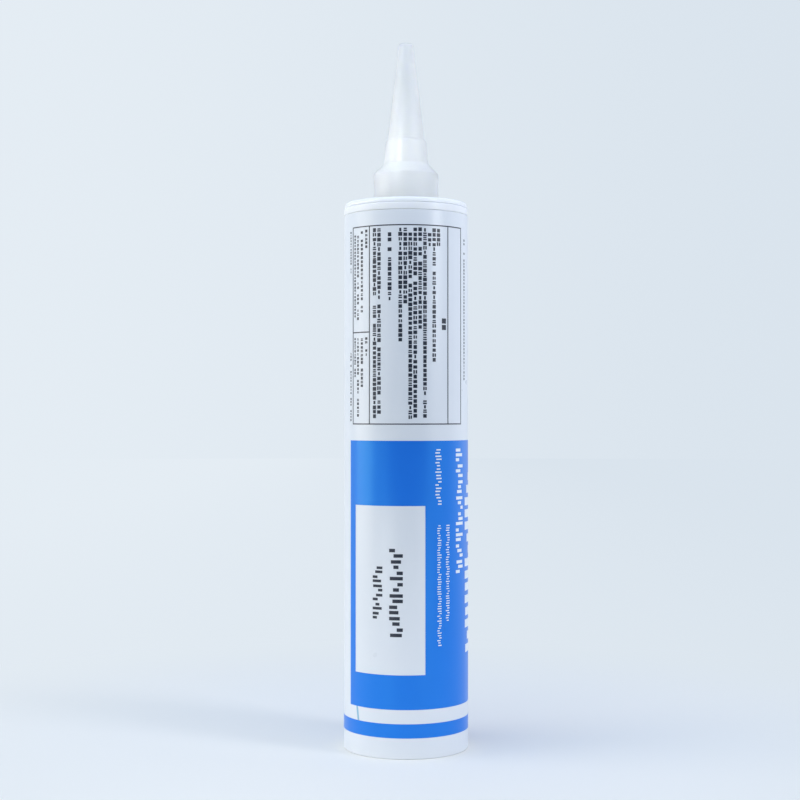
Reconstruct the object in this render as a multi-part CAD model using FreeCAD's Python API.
import FreeCAD, Part
import math
import os

# Sealant cartridge: a plastic barrel with a welded head, a screw-on nozzle,
# a follower plunger, the filling, and the print on the barrel's wall.
# Millimetres, +Z up, origin at the centre of the barrel's rear end, front of the print towards -Y.

os.makedirs("parts", exist_ok=True)

# Barrel
barrel_outer_d = 50.0
barrel_wall = 1.6
barrel_length = 213.5
lead_in_depth = 6.0
lead_in_step = 0.25
rear_edge_chamfer = 0.4

# Head
flange_height = 3.0
shoulder_step = 0.35
shoulder_height = 2.2
shoulder_round = 1.3
head_plate = 2.4
spigot_length = 6.0
spigot_wall = 1.5
spigot_gap = 0.05
neck_outer_r = 10.4
neck_wall = 2.6
neck_height = 11.2
neck_chamfer = 0.8
seat_margin = 0.3
seat_height = 0.3

# Foil over the neck's mouth
foil_thickness = 0.15
foil_inset = 0.9

# Nozzle
nozzle_gap = 0.3
collar_wall = 2.35
collar_margin = 0.15
collar_bevel = 4.0
cone_length = 49.0
cone_wall = 1.5
tip_outer_r = 2.8
tip_wall = 1.2

# Plunger
plunger_recess = 7.0
plunger_height = 17.0
plunger_wall = 1.6
plunger_gap = 0.08
lip_height = 2.5
lip_relief = 0.7
nose_height = 5.0
nose_gap = 0.6

# Filling
fill_gap = 0.05
nose_fill_gap = 0.3

# Print: lengths in mm, angles in degrees from the front, positive to the right
ink = 0.1
ink_gap = 0.1
stripe_low = 8.2
stripe_height = 5.5
panel_low = 19.2
panel_to_table = 6.3
panel_left_deg = -61.0
panel_right_deg = 255.0
window_bottom_margin = 13.4
window_top_margin = 25.3
window_left_deg = -52.4
window_right_deg = 17.5

# Ruled table above the blue field
table_drop = 5.8
table_height = 77.9
table_left_deg = -56.6
table_right_deg = 59.9
left_rule_deg = -34.9
right_rule_deg = 41.0
cell_height = 41.9
rule_width = 0.45
text_margin = 2.0
text_height = 1.3
text_pitch_deg = 4.45
dash_length = 9.0
dash_gap = 1.1

# Dark rows in the window
row_dash = 3.2
row_gap = 1.1
first_row_inset_deg = 26.5
first_row_length = 35.0
first_row_height = 5.4
second_row_inset_deg = 44.0
second_row_length = 21.5
second_row_height = 4.2

# White marks on the blue field, at angles counted from the window's right edge
note_offset_deg = 13.0
note_drop = 3.3
note_length = 22.0
note_height = 2.8
small_offset_deg = 14.0
small_drop = 33.0
small_length = 45.0
small_short_length = 37.0
block_offset_deg = 40.0
block_drop = 3.2
block_line_length = 50.5
block_size = 5.2
block_gap = 1.1
title_offset_deg = 66.0
title_drop = 13.0
title_length = 73.0
title_size = 13.0
title_gap = 1.6

# Values worked out from the sizes above
barrel_r = barrel_outer_d / 2
bore_r = barrel_r - barrel_wall
flange_top = barrel_length + flange_height
shoulder_r = barrel_r - shoulder_step
shoulder_top = flange_top + shoulder_height
plate_bottom = shoulder_top - head_plate
spigot_bottom = barrel_length - spigot_length
spigot_outer_r = bore_r - spigot_gap
spigot_inner_r = spigot_outer_r - spigot_wall
neck_bore_r = neck_outer_r - neck_wall
neck_top = shoulder_top + neck_height
foil_r = neck_outer_r - foil_inset
socket_r = neck_outer_r + nozzle_gap
socket_top = neck_top + foil_thickness + nozzle_gap
collar_outer_r = socket_r + collar_wall
collar_top = socket_top + collar_margin
seat_r = collar_outer_r + seat_margin
seat_top = shoulder_top + seat_height
cone_base = collar_top + collar_bevel
cone_base_r = collar_outer_r - collar_bevel
tip_top = cone_base + cone_length
plunger_front = plunger_recess + plunger_height
plunger_r = bore_r - plunger_gap
nose_r = spigot_inner_r - nose_gap
nose_top = plunger_front + nose_height
table_high = barrel_length - table_drop
table_low = table_high - table_height
cell_rule = table_high - cell_height
panel_high = table_low - panel_to_table
window_low = panel_low + window_bottom_margin
window_high = panel_high - window_top_margin
centre = FreeCAD.Vector(0, 0, 0)
upward = FreeCAD.Vector(0, 0, 1)


def turned(corners):
    """Solid turned about Z from section corners (radius, height, rounding), in order round the section."""
    points = [FreeCAD.Vector(corner[0], 0, corner[1]) for corner in corners]
    edges = []
    entries = []
    exits = []
    for index, corner in enumerate(points):
        rounding = corners[index][2]
        back = (points[index - 1] - corner).normalize()
        ahead = (points[(index + 1) % len(points)] - corner).normalize()
        if rounding == 0:
            entries.append(corner)
            exits.append(corner)
            continue
        half_angle = back.getAngle(ahead) / 2
        reach = rounding / math.tan(half_angle)
        inward = (back + ahead).normalize()
        start = corner + back * reach
        end = corner + ahead * reach
        middle = corner + inward * (rounding / math.sin(half_angle) - rounding)
        edges.append(Part.Arc(start, middle, end).toShape())
        entries.append(start)
        exits.append(end)
    for index in range(len(points)):
        following = entries[(index + 1) % len(points)]
        edges.append(Part.LineSegment(exits[index], following).toShape())
    section = Part.Face(Part.Wire(Part.__sortEdges__(edges)))
    return section.revolve(centre, upward, 360)


def ink_patch(left, right, low, high, layer=0):
    """Ink film on the barrel between two angles and two heights, on the given layer of ink."""
    inner = barrel_r + ink_gap + layer * (ink + ink_gap)
    outer = inner + ink
    corners = [(inner, low), (outer, low), (outer, high), (inner, high), (inner, low)]
    outline = Part.makePolygon([FreeCAD.Vector(radius, 0, height) for radius, height in corners])
    film = Part.Face(outline).revolve(centre, upward, right - left)
    film.rotate(centre, upward, left - 90)
    return film


def width_angle(width):
    """Angle in degrees that a width takes on the barrel's wall."""
    return math.degrees(width / barrel_r)


def dashes(angle, top, length, height, dash, gap, layer=0):
    """List of dashes running down the barrel from a height, each centred on an angle."""
    half = width_angle(height) / 2
    count = max(1, round(length / (dash + gap)))
    step = length / count
    tops = [top - index * step for index in range(count)]
    return [ink_patch(angle - half, angle + half, high - step + gap, high, layer) for high in tops]


def make_barrel():
    """Extruded tube with a slightly wider lead-in at the rear for the plunger."""
    lead_r = bore_r + lead_in_step
    return turned([
        (barrel_r - rear_edge_chamfer, 0, 0),
        (barrel_r, rear_edge_chamfer, 0),
        (barrel_r, barrel_length, 0),
        (bore_r, barrel_length, 0),
        (bore_r, lead_in_depth, 0),
        (lead_r, lead_in_depth, 0),
        (lead_r, 0, 0),
    ])


def make_head():
    """Moulded shoulder: flange on the barrel's end, spigot in the bore, flat top, nozzle's seat and neck."""
    return turned([
        (barrel_r, barrel_length, 0),
        (barrel_r, flange_top, 0),
        (shoulder_r, flange_top, 0),
        (shoulder_r, shoulder_top, shoulder_round),
        (seat_r, shoulder_top, 0),
        (seat_r, seat_top, 0),
        (neck_outer_r, seat_top, 0),
        (neck_outer_r, neck_top - neck_chamfer, 0),
        (neck_outer_r - neck_chamfer, neck_top, 0),
        (neck_bore_r, neck_top, 0),
        (neck_bore_r, plate_bottom, 0),
        (spigot_inner_r, plate_bottom, 0),
        (spigot_inner_r, spigot_bottom, 0),
        (spigot_outer_r, spigot_bottom, 0),
        (spigot_outer_r, barrel_length, 0),
    ])


def make_neck_foil():
    """Foil disc sealed on the neck's rim."""
    foil = Part.makeCylinder(foil_r, foil_thickness)
    foil.translate(FreeCAD.Vector(0, 0, neck_top))
    return foil


def make_nozzle():
    """Hollow cone with a bevelled collar whose socket takes the neck."""
    return turned([
        (collar_outer_r, seat_top, 0),
        (collar_outer_r, collar_top, 0),
        (cone_base_r, cone_base, 0),
        (tip_outer_r, tip_top, 0),
        (tip_outer_r - tip_wall, tip_top, 0),
        (cone_base_r - cone_wall, cone_base, 0),
        (cone_base_r - cone_wall, socket_top, 0),
        (socket_r, socket_top, 0),
        (socket_r, seat_top, 0),
    ])


def make_plunger():
    """Cup open to the rear, with a wiping lip at each end and a nose that enters the head."""
    body_r = plunger_r - lip_relief
    cup_r = body_r - plunger_wall
    cup_top = plunger_front - plunger_wall
    nose_cup_r = nose_r - plunger_wall
    return turned([
        (plunger_r, plunger_recess, 0),
        (plunger_r, plunger_recess + lip_height, 0),
        (body_r, plunger_recess + lip_height + lip_relief, 0),
        (body_r, plunger_front - lip_height - lip_relief, 0),
        (plunger_r, plunger_front - lip_height, 0),
        (plunger_r, plunger_front, 0),
        (nose_r, plunger_front, 0),
        (nose_r, nose_top, 0),
        (0, nose_top, 0),
        (0, nose_top - plunger_wall, 0),
        (nose_cup_r, nose_top - plunger_wall, 0),
        (nose_cup_r, cup_top, 0),
        (cup_r, cup_top, 0),
        (cup_r, plunger_recess, 0),
    ])


def make_sealant():
    """Filling between the plunger's front, the bore, the head's inside and the foil."""
    pocket_r = nose_r + nose_fill_gap
    return turned([
        (pocket_r, plunger_front, 0),
        (bore_r - fill_gap, plunger_front, 0),
        (bore_r - fill_gap, spigot_bottom, 0),
        (spigot_inner_r - fill_gap, spigot_bottom, 0),
        (spigot_inner_r - fill_gap, plate_bottom, 0),
        (neck_bore_r - fill_gap, plate_bottom, 0),
        (neck_bore_r - fill_gap, neck_top, 0),
        (0, neck_top, 0),
        (0, nose_top, 0),
        (pocket_r, nose_top, 0),
    ])


def make_blue_panel():
    """Blue field round most of the barrel, with a bare window at the front."""
    field = ink_patch(panel_left_deg, panel_right_deg, panel_low, panel_high)
    window = ink_patch(window_left_deg, window_right_deg, window_low, window_high)
    return field.cut(window)


def make_blue_stripe():
    """Thin blue ring near the base."""
    return ink_patch(0, 360, stripe_low, stripe_low + stripe_height)


def make_table_frame():
    """Ruled table: an outer frame, two upright rules and a short level rule."""
    half = width_angle(rule_width) / 2
    uprights = []
    for angle in (table_left_deg, left_rule_deg, right_rule_deg, table_right_deg):
        uprights.append(ink_patch(angle - half, angle + half, table_low, table_high))
    levels = [
        ink_patch(table_left_deg, table_right_deg, table_low, table_low + rule_width),
        ink_patch(table_left_deg, table_right_deg, table_high - rule_width, table_high),
        ink_patch(table_left_deg, left_rule_deg, cell_rule, cell_rule + rule_width),
    ]
    return uprights[0].multiFuse(uprights[1:] + levels).removeSplitter()


def make_table_text():
    """Lines of small print as plain dashes that run down the cells and just outside them."""
    blocks = [
        (table_left_deg - text_pitch_deg, table_low, table_high, [1.0]),
        (table_left_deg + 0.7 * text_pitch_deg, cell_rule, table_high, [1.0, 0.95, 0.85, 0.2]),
        (table_left_deg + 0.7 * text_pitch_deg, table_low, cell_rule, [0.5, 1.0, 0.65, 0.25]),
        (left_rule_deg + 1.2 * text_pitch_deg, table_low, table_high, [1.0, 0.98]),
        (left_rule_deg + 4.5 * text_pitch_deg, table_low, table_high, [0.4]),
        (left_rule_deg + 6.7 * text_pitch_deg, table_low, table_high, [0.6, 0.4, 1.0, 1.0, 0.55]),
        (left_rule_deg + 11.7 * text_pitch_deg, table_low, table_high, [1.0, 0.1, 0.7, 0.1]),
        (table_right_deg + 1.6 * text_pitch_deg, table_low, table_high, [0.8]),
    ]
    lines = []
    for first_angle, low, high, shares in blocks:
        longest = high - low - 2 * text_margin
        for index, share in enumerate(shares):
            angle = first_angle + index * text_pitch_deg
            lines += dashes(angle, high - text_margin, share * longest, text_height, dash_length, dash_gap)
    return Part.makeCompound(lines)


def make_window_marks():
    """Two rows of dark blocks that run down the middle of the white window."""
    middle = (window_low + window_high) / 2
    rows = []
    for inset, length, height in (
        (first_row_inset_deg, first_row_length, first_row_height),
        (second_row_inset_deg, second_row_length, second_row_height),
    ):
        rows += dashes(window_right_deg - inset, middle + length / 2, length, height, row_dash, row_gap)
    return Part.makeCompound(rows)


def make_panel_marks():
    """White marks printed over the blue field: thin lines, a line of blocks and large blocks."""
    marks = []
    last_offset_deg = small_offset_deg + 2 * text_pitch_deg
    for offset, drop, length, height, dash, gap in (
        (note_offset_deg, note_drop, note_length, note_height, row_dash, row_gap),
        (small_offset_deg, small_drop, small_length, text_height, dash_length, dash_gap),
        (last_offset_deg, small_drop, small_short_length, text_height, dash_length, dash_gap),
        (block_offset_deg, block_drop, block_line_length, block_size, block_size, block_gap),
        (title_offset_deg, title_drop, title_length, title_size, title_size, title_gap),
    ):
        marks += dashes(window_right_deg + offset, panel_high - drop, length, height, dash, gap, 1)
    return Part.makeCompound(marks)


parts = {
    "barrel": make_barrel(),
    "head": make_head(),
    "neck_foil": make_neck_foil(),
    "nozzle": make_nozzle(),
    "plunger": make_plunger(),
    "sealant": make_sealant(),
    "blue_panel": make_blue_panel(),
    "blue_stripe": make_blue_stripe(),
    "table_frame": make_table_frame(),
    "table_text": make_table_text(),
    "window_marks": make_window_marks(),
    "panel_marks": make_panel_marks(),
}
for name, shape in parts.items():
    shape.exportStep(f"parts/{name}.step")
    print(name, shape.ShapeType, shape.isValid(), len(shape.Solids), round(shape.Volume, 2))
